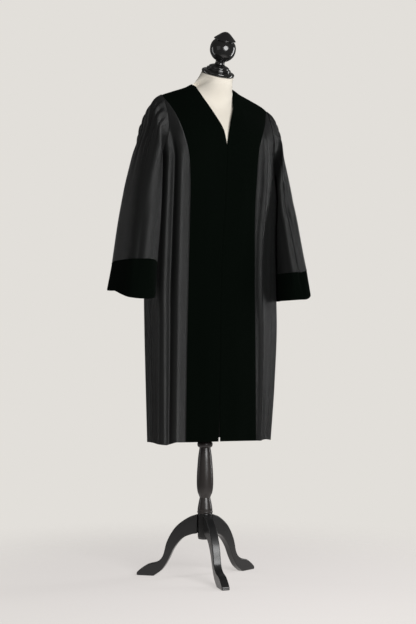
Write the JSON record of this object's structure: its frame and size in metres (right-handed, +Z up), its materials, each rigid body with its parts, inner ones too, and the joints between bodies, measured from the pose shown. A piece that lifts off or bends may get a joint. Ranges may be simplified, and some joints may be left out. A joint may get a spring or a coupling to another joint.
{
  "type": "prosecutor robe on a dress form stand",
  "caption": "Black wool and velvet prosecutor robe with wide cuffed sleeves, open in a V at the neck, worn by a limbless dress form on a turned three-legged stand.",
  "frame": {"origin": "on the floor, under the middle of the whole part's bounding box", "axes": "+Z up, -Y out of the robe's front, +X to the wearer's left"},
  "size_m": [0.7092, 0.3976, 1.7717],
  "materials": {
    "black_wool": "smooth black wool with a soft satin sheen",
    "black_velvet": "deep black velvet, nearly matt",
    "ivory_jersey": "matt ivory jersey stretched over the form",
    "black_lacquer": "glossy black lacquer on wood",
    "dark_satin_wood": "dark brown-black satin stained wood"
  },
  "bodies": {
    "root": {"back": "black_wool", "back_yoke": "black_velvet", "column": "dark_satin_wood", "cuff_left": "black_velvet", "cuff_right": "black_velvet", "finial": "black_lacquer", "form_torso": "ivory_jersey", "hub": "black_lacquer", "leg_1": "black_lacquer", "leg_2": "black_lacquer", "leg_3": "black_lacquer", "neck_cap": "black_lacquer", "pole": "dark_satin_wood", "side_front_left": "black_wool", "side_front_right": "black_wool", "sleeve_left": "black_wool", "sleeve_right": "black_wool", "velvet_front_left": "black_velvet", "velvet_front_right": "black_velvet"}
  },
  "joints": []
}
